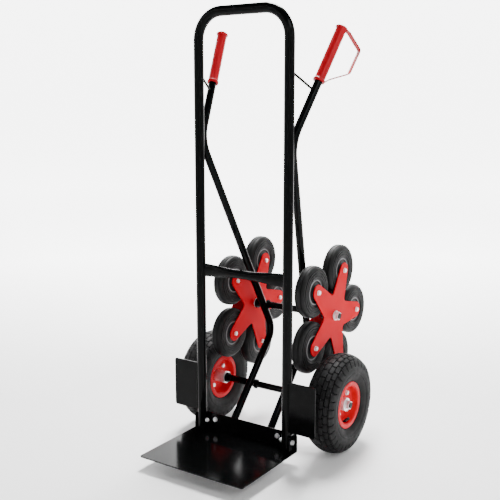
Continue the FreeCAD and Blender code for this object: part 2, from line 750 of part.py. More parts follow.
def star_tyre(index):
    centre = star_point(ARM_RADIUS, arm_angle(index))
    half, crown, base = STAR_TYRE_HALF_WIDTH, STAR_WHEEL_R, STAR_CORE_R
    side_low, side_high = STAR_SIDE_LOW_R, STAR_SIDE_HIGH_R
    edge_x, edge_r = half - STAR_EDGE_INSET, STAR_EDGE_R
    bend_x, bend_r = STAR_SHOULDER_BEND
    flat = STAR_TREAD_FLAT_X
    return revolved(profile(
        (-half + STAR_BEAD_INSET, base), (-half, side_low), (-half, side_high, -edge_x, edge_r),
        (-bend_x, bend_r, -flat, crown), (flat, crown), (bend_x, bend_r, edge_x, edge_r),
        (half, side_high, half, side_low), (half - STAR_BEAD_INSET, base)),
        STAR_X, centre.y, centre.z)


def star_core(index):
    centre = star_point(ARM_RADIUS, arm_angle(index))
    wide, face, boss = STAR_CORE_HALF_WIDTH, STAR_CORE_FACE_HALF, STAR_CORE_BOSS_R
    rim = STAR_TYRE_HALF_WIDTH - STAR_BEAD_INSET
    bore = BOLT_R + RUNNING_GAP
    return revolved(profile(
        (-wide, bore), (-wide, boss), (-face, boss), (-face, STAR_CORE_FACE_R), (-rim, STAR_CORE_LIP_R),
        (-rim, STAR_CORE_R), (rim, STAR_CORE_R), (rim, STAR_CORE_LIP_R), (face, STAR_CORE_FACE_R),
        (face, boss), (wide, boss), (wide, bore)),
        STAR_X, centre.y, centre.z)


def both_sides(name, pattern, *shapes):
    save(pattern.format(side="right", name=name), *shapes)
    save(pattern.format(side="left", name=name), *[mirrored(shape) for shape in shapes])


def build_frame():
    save("hoop_frame", hoop_frame())
    save("cross_tube", cross_tube())
    lugs = [axle_lug(WHEEL_Y, TYRE_R, KNEE_LOWER[0]), axle_lug(STAR_Y, STAR_Z, star_lug_x())]
    both_sides("handle_tube", "{name}_{side}", handle_tube(), *lugs)
    rod = brace_rod()
    save("brace_rods", rod, mirrored(rod))
    save("lower_strap", lower_strap())
    save("toe_plate", toe_plate())
    both_sides("wheel_guard", "{name}_{side}", wheel_guard())
    save("frame_bolts", *frame_bolts())
    save("frame_nuts", *frame_nuts())
    both_sides("grip", "{name}_{side}", grip())
    both_sides("hand_guard", "{name}_{side}", hand_guard())


def build_axles():
    (wheel_y, wheel_z, wheel_inner, _), (star_y, star_z, star_inner, _) = axle_sets()
    save("wheel_axle", stepped_axle(wheel_axle_reach(), wheel_inner, wheel_y, wheel_z))
    save("star_axle", stepped_axle(star_axle_reach(), star_inner, star_y, star_z))
    save("axle_collars", *axle_collars())
    save("axle_washers", *axle_washers())
    save("axle_nuts", *axle_nuts())


def build_wheels():
    both_sides("tyre", "wheel_{side}_{name}", tyre())
    both_sides("inner_tube", "wheel_{side}_{name}", inner_tube())
    both_sides("rim_outer", "wheel_{side}_{name}", rim_half().cut(valve_rod(VALVE_R, VALVE_CUT_LENGTH)))
    both_sides("rim_inner", "wheel_{side}_{name}", rim_inner())
    both_sides("hub", "wheel_{side}_{name}", *wheel_hub())
    both_sides("rim_bolts", "wheel_{side}_{name}", *rim_bolts())


def build_stars():
    inner_face, outer_face = STAR_X - STAR_PLATE_X, STAR_X + STAR_PLATE_X
    both_sides("plate_outer", "star_{side}_{name}", star_plate(outer_face, outer_face + PLATE_THICK))
    both_sides("plate_inner", "star_{side}_{name}", star_plate(inner_face - PLATE_THICK, inner_face))
    both_sides("hub", "star_{side}_{name}", star_hub())
    both_sides("bolts", "star_{side}_{name}", *star_bolts())
    for index in range(ARM_COUNT):
        both_sides("tyre_" + str(index + 1), "star_{side}_{name}", star_tyre(index))
        both_sides("core_" + str(index + 1), "star_{side}_{name}", star_core(index))


build_frame()
build_axles()
build_wheels()
build_stars()
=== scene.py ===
import json
import math

import bmesh
import bpy
import numpy as np
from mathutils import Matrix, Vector


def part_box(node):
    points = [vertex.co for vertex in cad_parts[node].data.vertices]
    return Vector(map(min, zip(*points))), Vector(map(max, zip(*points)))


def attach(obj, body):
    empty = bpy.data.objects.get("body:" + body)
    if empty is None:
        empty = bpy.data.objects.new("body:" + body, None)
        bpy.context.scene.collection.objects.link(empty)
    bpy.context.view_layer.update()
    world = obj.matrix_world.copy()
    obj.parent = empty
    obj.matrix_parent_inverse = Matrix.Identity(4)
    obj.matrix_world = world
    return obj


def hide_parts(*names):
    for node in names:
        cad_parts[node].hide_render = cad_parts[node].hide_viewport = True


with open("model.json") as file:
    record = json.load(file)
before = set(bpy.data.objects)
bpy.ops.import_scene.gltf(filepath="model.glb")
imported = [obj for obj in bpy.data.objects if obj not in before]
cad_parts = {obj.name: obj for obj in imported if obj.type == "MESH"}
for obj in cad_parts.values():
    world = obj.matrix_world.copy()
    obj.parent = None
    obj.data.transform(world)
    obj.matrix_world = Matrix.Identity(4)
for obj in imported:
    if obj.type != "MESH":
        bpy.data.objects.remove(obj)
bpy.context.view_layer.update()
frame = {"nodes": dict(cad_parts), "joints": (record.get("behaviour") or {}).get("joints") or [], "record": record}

SIDES = {"left": -1, "right": 1}
MM = 0.001
STAR_WHEELS = (1, 2, 3, 4, 5)

# camera, at the photograph's angle
CAMERA_PLACE = (1.14046, -1.74749, 0.90134)
CAMERA_TURN = math.radians(34.05)
CAMERA_PITCH = math.radians(10.3)
CAMERA_LENS = 58.73
CAMERA_SENSOR = 36.0

# pneumatic tyre, in millimetres: half width and radius come from the frame, less a little to stay inside it
TYRE_INSET = 0.06
TREAD_FLAT_STATIONS = (0.13, 0.2, 0.27, 0.34, 0.4, 0.46, 0.52, 0.75, 0.8, 0.86)
TREAD_WOBBLE = 0.10
TREAD_PITCHES = 34
GROOVE_SHARE = 0.11
GROOVE_WALL_SHARE = 0.025
GROOVE_DEPTH = 4.2
TREAD_ROWS = ((0.0, 8.2, 0.0), (9.8, 20.6, 0.35), (22.2, 33.2, 0.0))
SHOULDER_ROW = (34.8, 54.0, 0.35)

# small wheels turn on 6 mm shanks, in millimetres
STAR_BORE_R = 3.05
# radii of the cores' raised ring, which is given a painted highlight, in millimetres
CORE_HIGHLIGHT_RADII = (30.0, 31.8)

# valve caps, in millimetres: points up the stem's line from its end, with their radii
VALVE_LEAN = (0.72, 0.0, 0.69)
CAP_SHAPE = ((-7.0, 4.1), (-7.0, 4.9), (-6.2, 5.2), (1.0, 5.2), (2.2, 4.4), (2.6, 2.6))
CAP_STEPS = 48
CAP_RIBS = 12
CAP_RIB_DEPTH = 0.35
STEM_END_DEPTH = 0.1

# grips, in millimetres: height, radius, and 1 where the flutes run
GRIP_SHAPE = ((0.0, 11.0, 0), (0.0, 14.2, 0), (0.8, 15.0, 0), (4.8, 15.0, 0), (6.0, 14.2, 0), (7.4, 13.0, 0),
              (9.0, 12.9, 1), (40.0, 12.9, 1), (80.0, 12.9, 1), (120.0, 12.9, 1), (144.5, 12.9, 1),
              (146.0, 13.0, 0), (147.4, 14.6, 0), (148.4, 15.4, 0), (149.6, 15.4, 0), (150.9, 14.2, 0),
              (151.68, 11.0, 0))
FLUTES = 8
FLUTE_DEPTH = 0.55
GRIP_STEPS = 96

# rounding of the CAD parts' sharp edges, in millimetres
BEVELS = {"toe_plate": 0.6, "wheel_guard_left": 0.6, "wheel_guard_right": 0.6, "lower_strap": 0.6,
          "hand_guard_left": 0.7, "hand_guard_right": 0.7, "frame_bolts": 0.5, "frame_nuts": 0.5,
          "axle_nuts": 0.8, "axle_washers": 0.4, "axle_collars": 0.6, "wheel_axle": 1.0, "star_axle": 1.0}
for side_name in SIDES:
    for star_part, size in (("plate_outer", 0.6), ("plate_inner", 0.6), ("bolts", 0.5), ("hub", 0.5)):
        BEVELS["star_{}_{}".format(side_name, star_part)] = size
    for wheel_part in ("rim_bolts", "hub"):
        BEVELS["wheel_{}_{}".format(side_name, wheel_part)] = 0.5
BEVEL_FROM_ANGLE = math.radians(40)
BEVEL_WELD = 0.00001

# weld beads, in metres
BEAD_RADIUS = 0.0021
BEAD_RIPPLE = 0.0042
BEAD_SWELL = 0.13
BEAD_SIDES = 10
BEAD_REFERENCE = (0.3, 0.5, 0.81)
GUARD_WELD_INSET = 0.006
CROSS_WELD_HALF_DEPTH = 0.0045
CROSS_WELD_STEPS = 36

# lights: name, place, size, watts
LIGHT_TARGET = (0.0, 0.0, 0.5)
LIGHTS = (("key", (2.6, -0.9, 2.9), (1.2, 1.2), 52.0),
          ("fill", (-2.8, -2.4, 2.2), (2.4, 2.4), 6.0),
          ("top", (-0.5, 1.2, 3.0), (1.0, 1.0), 340.0),
          ("back", (-1.6, 3.0, 2.2), (2.0, 1.8), 28.0))

# stage
BOWL_FLAT_RADII = (0.5, 2.0, 4.0, 7.0)
BOWL_CURVE_R = 3.0
BOWL_TOP = 6.0
BOWL_STEPS = 96
NEAR_SIDE_GLOW = 0.06
BEHIND_REACH = (0.35, 0.92)
FLOOR_GLOW = 4.6
FLOOR_GLOW_REACH = (0.7, 2.8)
WORLD_STRENGTH = 0.04

# round parts
LATHE_STEPS = 96
SMOOTH_ANGLE = math.radians(32)

# colours
# painted shade for the floors of the tread grooves
GROOVE_PAINTED_SHADE = (0.002, 0.002, 0.002)
# painted highlight on the star cores' raised ring
CORE_RING_PAINTED_HIGHLIGHT = (0.20, 0.20, 0.205)
ZINC_DULL = (0.80, 0.81, 0.82)
ZINC_BRIGHT = (0.93, 0.94, 0.95)
WORN_RED = (0.70, 0.06, 0.06)
ROAD_RUBBER = ((0.004, 0.004, 0.0042), (0.008, 0.008, 0.0083))
STAR_RUBBER = ((0.004, 0.0041, 0.0043), (0.008, 0.0081, 0.0084))
TUBE_RUBBER = ((0.014, 0.014, 0.015), (0.022, 0.022, 0.023))
CORE_PLASTIC = ((0.012, 0.012, 0.013), (0.020, 0.020, 0.021))
FRAME_BLACK = (0.0014, 0.0016, 0.0017)
WORN_BLACK = (0.006, 0.006, 0.006)
RED_PAINT = (0.62, 0.001, 0.011)
RED_PLASTIC = (0.40, 0.002, 0.009)
RED_PLASTIC_DARK = (0.34, 0.002, 0.008)


# ---- materials ----

class Shader:
    """A principled material with helpers for the textures that feed it."""

    def __init__(self, name):
        self.material = bpy.data.materials.new(name)
        self.material.use_nodes = True
        self.tree = self.material.node_tree
        self.main = self.tree.nodes["Principled BSDF"]
        self.coords = self.tree.nodes.new("ShaderNodeTexCoord").outputs["Object"]

    def set(self, **values):
        for name, value in values.items():
            self.main.inputs[name.replace("_", " ")].default_value = value

    def link(self, source, target):
        self.tree.links.new(source, target)

    def noise(self, scale, detail=4.0, stretch=(1, 1, 1)):
        mapping = self.tree.nodes.new("ShaderNodeMapping")
        mapping.inputs["Scale"].default_value = stretch
        self.link(self.coords, mapping.inputs["Vector"])
        node = self.tree.nodes.new("ShaderNodeTexNoise")
        node.inputs["Scale"].default_value = scale
        node.inputs["Detail"].default_value = detail
        self.link(mapping.outputs["Vector"], node.inputs["Vector"])
        return node.outputs["Fac"]

    def ranged(self, value, low, high, start=0.3, end=0.7):
        node = self.tree.nodes.new("ShaderNodeMapRange")
        node.inputs["From Min"].default_value = start
        node.inputs["From Max"].default_value = end
        node.inputs["To Min"].default_value = low
        node.inputs["To Max"].default_value = high
        self.link(value, node.inputs["Value"])
        return node.outputs["Result"]

    def edges(self):
        """Near 1 on worn outer edges and 0 elsewhere."""
        pointed = self.tree.nodes.new("ShaderNodeNewGeometry").outputs["Pointiness"]
        return self.ranged(pointed, 0.0, 1.0, 0.56, 0.68)

    def mixed(self, factor, first, second):
        node = self.tree.nodes.new("ShaderNodeMix")
        node.data_type = "RGBA"
        self.link(factor, node.inputs["Factor"])
        for socket, value in ((node.inputs["A"], first), (node.inputs["B"], second)):
            if isinstance(value, tuple):
                socket.default_value = (*value, 1.0)
            else:
                self.link(value, socket)
        return node.outputs["Result"]

    def product(self, first, second):
        node = self.tree.nodes.new("ShaderNodeMath")
        node.operation = "MULTIPLY"
        self.link(first, node.inputs[0])
        self.link(second, node.inputs[1])
        return node.outputs["Value"]

    def roughness(self, value, low, high):
        self.link(self.ranged(value, low, high), self.main.inputs["Roughness"])

    def attribute(self, name):
        node = self.tree.nodes.new("ShaderNodeAttribute")
        node.attribute_name = name
        return node.outputs["Fac"]

    def bump(self, height, strength, distance):
        node = self.tree.nodes.new("ShaderNodeBump")
        node.inputs["Strength"].default_value = strength
        node.inputs["Distance"].default_value = distance
        self.link(height, node.inputs["Height"])
        self.link(node.outputs["Normal"], self.main.inputs["Normal"])


def paint(name, colour, worn, low_rough, high_rough, ior, shine, rubbing):
    """Powder coat: fine orange peel, faint cloudiness, and edges rubbed a little."""
    shader = Shader(name)
    cloud = shader.noise(9.0)
    darker = tuple(channel * 0.86 for channel in colour)
    body = shader.mixed(shader.ranged(cloud, 0.0, 1.0), darker, colour)
    patches = shader.ranged(shader.noise(140.0, 6.0), 0.0, rubbing, 0.45, 0.7)
    rub = shader.product(shader.edges(), patches)
    shader.link(shader.mixed(rub, body, worn), shader.main.inputs["Base Color"])
    shader.roughness(shader.noise(11.0, 3.0), low_rough, high_rough)
    shader.bump(shader.noise(420.0, 2.0), 0.05, 0.0003)
    shader.set(IOR=ior, Specular_IOR_Level=shine)
    return shader.material


def rubber(name, dark, light, low_rough, high_rough, grain):
    """Moulded rubber with a dusty bloom, a fine grain, and painted shade darkening the tread grooves by their
    depth.
    """
    shader = Shader(name)
    bloom = shader.ranged(shader.noise(22.0, 7.0), 0.0, 1.0, 0.35, 0.75)
    body = shader.mixed(bloom, dark, light)
    # painted shade: points deep in a groove are darkened towards near black
    groove_shade = shader.ranged(shader.attribute("groove_shade"), 0.0, 0.85, 0.0, 1.0)
    body = shader.mixed(groove_shade, body, GROOVE_PAINTED_SHADE)
    scuffed = tuple(channel * 1.6 for channel in light)
    scuff = shader.product(shader.edges(), shader.ranged(shader.noise(90.0, 5.0), 0.0, 0.5))
    shader.link(shader.mixed(scuff, body, scuffed), shader.main.inputs["Base Color"])
    shader.roughness(shader.noise(60.0, 5.0), low_rough, high_rough)
    shader.bump(shader.noise(grain, 3.0), 0.22, 0.0005)
    shader.set(Specular_IOR_Level=0.17)
    return shader.material


def plastic(name, dark, light, low_rough, high_rough, shine):
    """Moulded plastic with flow marks and a fine leathery texture, with a painted highlight of pale grey where a
    band is marked.
    """
    shader = Shader(name)
    flow = shader.ranged(shader.noise(16.0, 3.0, (1, 1, 0.3)), 0.0, 1.0)
    # painted highlight: where the band is marked, the colour is replaced by pale grey
    body = shader.mixed(shader.attribute("band"), shader.mixed(flow, dark, light), CORE_RING_PAINTED_HIGHLIGHT)
    shader.link(body, shader.main.inputs["Base Color"])
    shader.roughness(shader.noise(70.0, 5.0), low_rough, high_rough)
    shader.bump(shader.noise(1400.0, 2.0), 0.12, 0.0003)
    shader.set(Specular_IOR_Level=shine)
    return shader.material


def zinc():
    """Bright zinc plate with a soft spangle and slight tarnish."""
    shader = Shader("bright_zinc")
    tarnish = shader.ranged(shader.noise(120.0, 5.0), 0.0, 1.0)
    shader.link(shader.mixed(tarnish, ZINC_DULL, ZINC_BRIGHT), shader.main.inputs["Base Color"])
    shader.roughness(shader.noise(260.0, 5.0), 0.30, 0.46)
    shader.bump(shader.noise(700.0, 3.0), 0.10, 0.0002)
    shader.set(Metallic=0.85)
    return shader.material


def floor_material():
    """Pale floor that glows as a light of its own: no glow under the trolley, which stays pale grey, brightening
    to white away from it, most of all behind it.
    """
    shader = Shader("pale_floor")
    shader.link(shader.mixed(shader.noise(3.0), (0.86, 0.86, 0.86), (0.88, 0.88, 0.88)),
                shader.main.inputs["Base Color"])
    distance = shader.tree.nodes.new("ShaderNodeVectorMath")
    distance.operation = "LENGTH"
    shader.link(shader.coords, distance.inputs[0])
    glow = shader.ranged(distance.outputs["Value"], 0.0, FLOOR_GLOW, *FLOOR_GLOW_REACH)
    normalized = shader.tree.nodes.new("ShaderNodeVectorMath")
    normalized.operation = "NORMALIZE"
    shader.link(shader.coords, normalized.inputs[0])
    behind = shader.tree.nodes.new("ShaderNodeVectorMath")
    behind.operation = "DOT_PRODUCT"
    shader.link(normalized.outputs["Vector"], behind.inputs[0])
    behind.inputs[1].default_value = (-math.sin(CAMERA_TURN), math.cos(CAMERA_TURN), 0.0)
    side = shader.ranged(behind.outputs["Value"], NEAR_SIDE_GLOW, 1.0, *BEHIND_REACH)
    shader.link(shader.product(glow, side), shader.main.inputs["Emission Strength"])
    shader.set(Emission_Color=(1.0, 1.0, 1.0, 1.0), Roughness=0.6, Specular_IOR_Level=0.2)
    return shader.material


def slot_materials():
    """One finish for each material slot of the record."""
    return {
        "frame_black": paint("black_powder_coat", FRAME_BLACK, WORN_BLACK, 0.11, 0.15, 1.20, 0.3, 0.10),
        "star_red": paint("red_star_paint", RED_PAINT, WORN_RED, 0.46, 0.58, 1.40, 0.05, 0.3),
        "rim_red": paint("red_rim_paint", RED_PAINT, WORN_RED, 0.26, 0.38, 1.45, 0.10, 0.3),
        "road_tyre": rubber("road_tyre_rubber", *ROAD_RUBBER, 0.58, 0.74, 900.0),
        "star_tyre": rubber("star_tyre_rubber", *STAR_RUBBER, 0.46, 0.60, 1200.0),
        "star_core": plastic("dark_core_plastic", *CORE_PLASTIC, 0.45, 0.60, 0.25),
        "tube_rubber": rubber("air_tube_rubber", *TUBE_RUBBER, 0.45, 0.60, 700.0),
        "grip_red": plastic("red_grip_plastic", RED_PLASTIC_DARK, RED_PLASTIC, 0.30, 0.44, 0.12),
        "zinc": zinc(),
    }


# ---- mesh helpers ----

def arc(start, through, end, steps):
    """Points of the circular arc from start through a middle point to end, start left out."""
    (ax, ay), (bx, by), (cx, cy) = start, through, end
    d = 2 * (ax * (by - cy) + bx * (cy - ay) + cx * (ay - by))
    a2, b2, c2 = ax * ax + ay * ay, bx * bx + by * by, cx * cx + cy * cy
    ox = (a2 * (by - cy) + b2 * (cy - ay) + c2 * (ay - by)) / d
    oy = (a2 * (cx - bx) + b2 * (ax - cx) + c2 * (bx - ax)) / d
    radius = math.hypot(ax - ox, ay - oy)
    first = math.atan2(ay - oy, ax - ox)
    swing_middle = (math.atan2(by - oy, bx - ox) - first) % math.tau
    swing_end = (math.atan2(cy - oy, cx - ox) - first) % math.tau
    if swing_middle > swing_end:
        swing_end -= math.tau
    angles = [first + swing_end * step / steps for step in range(1, steps + 1)]
    return [(ox + radius * math.cos(a), oy + radius * math.sin(a)) for a in angles]


def skin(mesh, rows):
    """Quads between each closed row of points and the next."""
    for row, following in zip(rows, rows[1:]):
        for a, b, c, d in zip(row, row[1:] + row[:1], following[1:] + following[:1], following):
            mesh.faces.new((a, b, c, d))


def ring_mesh(name, rings):
    """A closed mesh from rings of points that run round twice: along each ring and from ring to ring."""
    mesh = bmesh.new()
    rows = [[mesh.verts.new(point) for point in ring] for ring in rings]
    skin(mesh, rows + rows[:1])
    bmesh.ops.recalc_face_normals(mesh, faces=mesh.faces)
    return finished(name, mesh)


def finished(name, mesh):
    data = bpy.data.meshes.new(name)
    mesh.to_mesh(data)
    mesh.free()
    data.shade_smooth()
    data.set_sharp_from_angle(angle=SMOOTH_ANGLE)
    piece = bpy.data.objects.new(name, data)
    bpy.context.scene.collection.objects.link(piece)
    return piece


def lathe(name, profile, centre):
    """Turn a closed profile of (x, radius) in millimetres about the X axis through the centre."""
    rings = []
    for step in range(LATHE_STEPS):
        angle = math.tau * step / LATHE_STEPS
        rings.append([(centre.x + x * MM, centre.y + r * MM * math.sin(angle),
                       centre.z + r * MM * math.cos(angle)) for x, r in profile])
    return ring_mesh(name, rings)


def both_faces(points):
    """A profile given on its +X side, mirrored to -X and closed."""
    return points + [(-x, r) for x, r in reversed(points)]


def mark(piece, name, values):
    """Give every point a value that the piece's shader reads: depth in a groove, shown as painted shade, or a band
    that gets a painted highlight.
    """
    attribute = piece.data.attributes.new(name, "FLOAT", "POINT")
    attribute.data.foreach_set("value", values)


def place(piece, body, slot, *nodes):
    piece.data.materials.append(FINISHES[slot])
    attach(piece, body)
    if nodes:
        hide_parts(*nodes)


def centre_of(node):
    low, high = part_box(node)
    return (low + high) / 2


def joint_place(child):
    for joint in frame["joints"]:
        if joint["child"] == child:
            return Vector(joint["pos_m"])
    raise ValueError(child)


# ---- pneumatic tyres ----

def tyre_section(half, radius):
    """Outer surface from bead to bead, then the lining back: (x, r) points in millimetres."""
    outer = [(29.5, 50.8), (29.5, 61.0)]
    outer += arc(outer[-1], (36.5, 71.0), (39.5, 82.0), 6)
    outer += [(40.3, 82.6), (40.6, 84.4), (40.0, 85.2)]
    outer += arc(outer[-1], (half, 91.0), (40.2, 99.5), 5)
    outer += arc(outer[-1], (38.6, 109.5), (35.0, 117.6), 12)
    crown = arc(outer[-1], (0.0, radius), (-35.0, 117.6), 60)
    lining = [(22.0, 50.8), (22.0, 60.0), (34.0, 88.0), (27.0, 111.0), (0.0, radius - 12.0)]
    lining += [(-x, r) for x, r in reversed(lining[:-1])]
    return outer + crown + [(-x, r) for x, r in reversed(outer[:-1])], lining[::-1]


def groove_at(share):
    """Depth share of a cross groove, 0 on a block and 1 on the groove's floor."""
    away = abs((share + 0.5) % 1.0 - 0.5)
    floor = GROOVE_SHARE / 2 - GROOVE_WALL_SHARE
    return min(1.0, max(0.0, 1.0 - (away - floor) / GROOVE_WALL_SHARE))


def tread_depth(across, share):
    """Groove depth share at a distance in millimetres from the crown's middle, along the surface."""
    rows = TREAD_ROWS + (SHOULDER_ROW,)
    distance = abs(across)
    if distance > SHOULDER_ROW[1]:
        return 0.0
    for low, high, offset in rows:
        if low <= distance <= high:
            wobble = TREAD_WOBBLE * math.sin((distance - low) / (high - low) * math.pi)
            return groove_at(share + offset + wobble)
    return 1.0


def tread_stations():
    """Places round the tyre, as pitch shares, closer together where a groove's walls stand."""
    floor = GROOVE_SHARE / 2 - GROOVE_WALL_SHARE
    edge = GROOVE_SHARE / 2
    near = [-edge, -floor, floor, edge]
    shares = []
    for offset in (0.0, 0.65):
        shares += [(offset + value) % 1.0 for value in near]
    shares += TREAD_FLAT_STATIONS
    return sorted(set(round(share, 5) for share in shares))


def tread_tyre(side):
    body = "wheel_" + side
    node = body + "_tyre"
    low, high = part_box(node)
    centre = joint_place(body)
    half = (high.x - low.x) / 2 / MM - TYRE_INSET
    radius = (high.z - low.z) / 2 / MM - TYRE_INSET
    outer, lining = tyre_section(half, radius)
    lengths = [0.0]
    for first, second in zip(outer, outer[1:]):
        lengths.append(lengths[-1] + math.hypot(second[0] - first[0], second[1] - first[1]))
    middle = lengths[-1] / 2
    normals = []
    for index in range(len(outer)):
        before, after = outer[max(index - 1, 0)], outer[min(index + 1, len(outer) - 1)]
        run = Vector((after[0] - before[0], after[1] - before[1])).normalized()
        normals.append((run.y, -run.x))
    rings = []
    depths = []
    for pitch in range(TREAD_PITCHES):
        for share in tread_stations():
            angle = math.tau * (pitch + share) / TREAD_PITCHES
            ring = []
            for (x, r), length, (nx, nr) in zip(outer, lengths, normals):
                share_deep = tread_depth(length - middle, share)
                depths.append(share_deep)
                depth = GROOVE_DEPTH * share_deep
                ring.append((x - nx * depth, r - abs(nr) * depth))
            ring += lining
            depths += [0.0] * len(lining)
            rings.append([(centre.x + x * MM, centre.y + r * MM * math.sin(angle),
                           centre.z + r * MM * math.cos(angle)) for x, r in ring])
    tyre = ring_mesh("tread_tyre_" + side, rings)
    # groove depths, which the rubber shader turns into painted shade
    mark(tyre, "groove_shade", depths)
    place(tyre, body, "road_tyre", node)


# ---- rims ----

def rim_profile():
    """One pressed half: rolled lip, bead seat, dished disc with a raised ring."""
    lip = [(31.7, 60.0)] + arc((31.7, 60.0), (30.6, 61.0), (29.5, 60.0), 6)
    outside = [(29.5, 52.2), (28.1, 50.8), (0.0, 50.8), (0.0, 48.6), (9.2, 48.6)]
    back = [(8.0, 44.0), (8.0, 17.0)]
    face = [(10.2, 17.0), (10.2, 23.0)]
    ridge = arc((10.2, 23.0), (11.6, 25.0), (10.2, 27.0), 6) + [(10.2, 37.0)]
    root = arc((10.2, 40.0), (11.6, 46.4), (16.0, 48.6), 8)
    return lip + outside + back + face + ridge + [(10.2, 40.0)] + root + [(29.0, 48.6), (31.7, 51.2)]


def rims(side):
    body = "wheel_" + side
    centre = joint_place(body)
    for half, turn in (("outer", SIDES[side]), ("inner", -SIDES[side])):
        profile = [(x * turn, r) for x, r in rim_profile()]
        rim = lathe("rim_" + half + "_" + side, profile, centre)
        place(rim, body, "rim_red", body + "_rim_" + half)


# ---- star wheels ----

def star_tyre_profile():
    """Sidewall with raised rings and a crown with two fine grooves."""
    wall = [(13.0, 36.0), (16.0, 39.5), (16.0, 42.5), (14.2, 43.2), (14.2, 44.6), (16.0, 45.3), (16.0, 49.0),
            (14.0, 49.8), (14.0, 51.4), (15.9, 52.2), (15.6, 55.6), (13.2, 56.4), (13.2, 58.0)]
    shoulder = [(14.9, 58.8)] + arc((14.9, 58.8), (12.6, 64.4), (7.6, 67.6), 7)
    crown = [(7.0, 66.3), (5.8, 66.3), (5.2, 68.0), (0.0, 68.0)]
    points = wall + shoulder + crown
    return points + [(-x, r) for x, r in reversed(points[:-1])]


def star_core_profile():
    """Boss, recessed web and outer band."""
    face = [(16.5, STAR_BORE_R), (16.5, 12.0), (15.6, 13.0), (11.0, 13.6), (9.6, 15.0), (9.6, 27.0),
            (11.0, 29.0), (13.4, 30.0), (13.4, 31.2), (12.4, 31.8), (12.4, 33.4), (13.0, 34.2), (13.0, 36.0)]
    return both_faces(face)


def star_wheel(side, number):
    body = "star_{}_wheel_{}".format(side, number)
    centre = joint_place(body)
    tyre_node = "star_{}_tyre_{}".format(side, number)
    core_node = "star_{}_core_{}".format(side, number)
    label = "{}_{}".format(side, number)
    place(lathe("small_tyre_" + label, star_tyre_profile(), centre), body, "star_tyre", tyre_node)
    profile = star_core_profile()
    core = lathe("small_core_" + label, profile, centre)
    # the core's raised ring is marked for a painted highlight
    low, high = CORE_HIGHLIGHT_RADII
    mark(core, "band", [1.0 if low <= r <= high else 0.0 for x, r in profile] * LATHE_STEPS)
    place(core, body, "star_core", core_node)


# ---- valve caps ----

def valve_cap(side):
    """A ribbed cap screwed on the end of the valve stem."""
    body = "wheel_" + side
    lean = Vector(VALVE_LEAN).normalized()
    lean.x *= SIDES[side]
    points = [vertex.co for vertex in frame["nodes"][body + "_inner_tube"].data.vertices]
    reach = max(point.dot(lean) for point in points)
    end = [point for point in points if reach - point.dot(lean) < STEM_END_DEPTH * MM]
    tip = sum(end, Vector()) / len(end)
    across = lean.cross(Vector((0, 1, 0))).normalized()
    third = lean.cross(across)
    mesh = bmesh.new()
    rows = []
    for up, radius in CAP_SHAPE:
        row = []
        for step in range(CAP_STEPS):
            angle = math.tau * step / CAP_STEPS
            r = radius - CAP_RIB_DEPTH * (0.5 - 0.5 * math.cos(CAP_RIBS * angle))
            out = across * math.cos(angle) + third * math.sin(angle)
            row.append(mesh.verts.new(tip + lean * (up * MM) + out * (r * MM)))
        rows.append(row)
    skin(mesh, rows)
    mesh.faces.new(rows[0])
    mesh.faces.new(rows[-1])
    bmesh.ops.recalc_face_normals(mesh, faces=mesh.faces)
    place(finished("valve_cap_" + side, mesh), body, "tube_rubber")


# ---- grips ----

def grip_line(node):
    """Both ends of a grip's axis, found from the frame's own mesh, the lower one first."""
    points = np.array([vertex.co for vertex in frame["nodes"][node].data.vertices], float)
    middle = points.mean(0)
    axis = np.linalg.eigh(np.cov((points - middle).T))[1][:, -1]
    axis = axis if axis[2] > 0 else -axis
    along = (points - middle) @ axis
    return Vector(middle + axis * along.min()), Vector(middle + axis * along.max())


def hand_grip(side):
    """Ribbed plastic grip with a collar at its foot and a domed flange at its end."""
    node = "grip_" + side
    low, high = grip_line(node)
    along = (high - low).normalized()
    across = along.cross(Vector((1, 0, 0))).normalized()
    third = along.cross(across)
    scale = (high - low).length / MM / GRIP_SHAPE[-1][0]
    rows = []
    for up, radius, fluted in GRIP_SHAPE:
        row = []
        for step in range(GRIP_STEPS):
            angle = math.tau * step / GRIP_STEPS
            r = radius - fluted * FLUTE_DEPTH * (0.5 - 0.5 * math.cos(FLUTES * angle)) ** 2
            out = across * math.cos(angle) + third * math.sin(angle)
            row.append(low + along * (up * scale * MM) + out * (r * MM))
        rows.append(row)
    mesh = bmesh.new()
    made = [[mesh.verts.new(point) for point in row] for row in rows]
    skin(mesh, made)
    mesh.faces.new(made[0])
    mesh.faces.new(made[-1])
    bmesh.ops.recalc_face_normals(mesh, faces=mesh.faces)
    place(finished("hand_grip_" + side, mesh), "frame", "grip_red", node)


# ---- weld beads ----

def weld_bead(name, points, closed):
    """A rippled bead of weld along a line of points."""
    line = [Vector(point) for point in points]
    steps = []
    ends = list(zip(line, line[1:] + line[:1])) if closed else list(zip(line, line[1:]))
    for start, end in ends:
        count = max(1, round((end - start).length / (BEAD_RIPPLE / 4)))
        steps += [start.lerp(end, index / count) for index in range(count)]
    if not closed:
        steps.append(line[-1])
    mesh = bmesh.new()
    rows = []
    travelled = 0.0
    for index, point in enumerate(steps):
        before = steps[index - 1] if index or closed else point
        after = steps[(index + 1) % len(steps)] if index + 1 < len(steps) or closed else point
        travelled += (point - before).length if index else 0.0
        run = (after - before).normalized()
        side = run.cross(Vector(BEAD_REFERENCE)).normalized()
        up = run.cross(side)
        size = BEAD_RADIUS * (1.0 + BEAD_SWELL * math.sin(math.tau * travelled / BEAD_RIPPLE))
        rows.append([mesh.verts.new(point + (side * math.cos(a) + up * math.sin(a)) * size)
                     for a in [math.tau * k / BEAD_SIDES for k in range(BEAD_SIDES)]])
    skin(mesh, rows + rows[:1] if closed else rows)
    if not closed:
        mesh.faces.new(rows[0])
        mesh.faces.new(rows[-1])
    bmesh.ops.recalc_face_normals(mesh, faces=mesh.faces)
    place(finished(name, mesh), "frame", "frame_black")


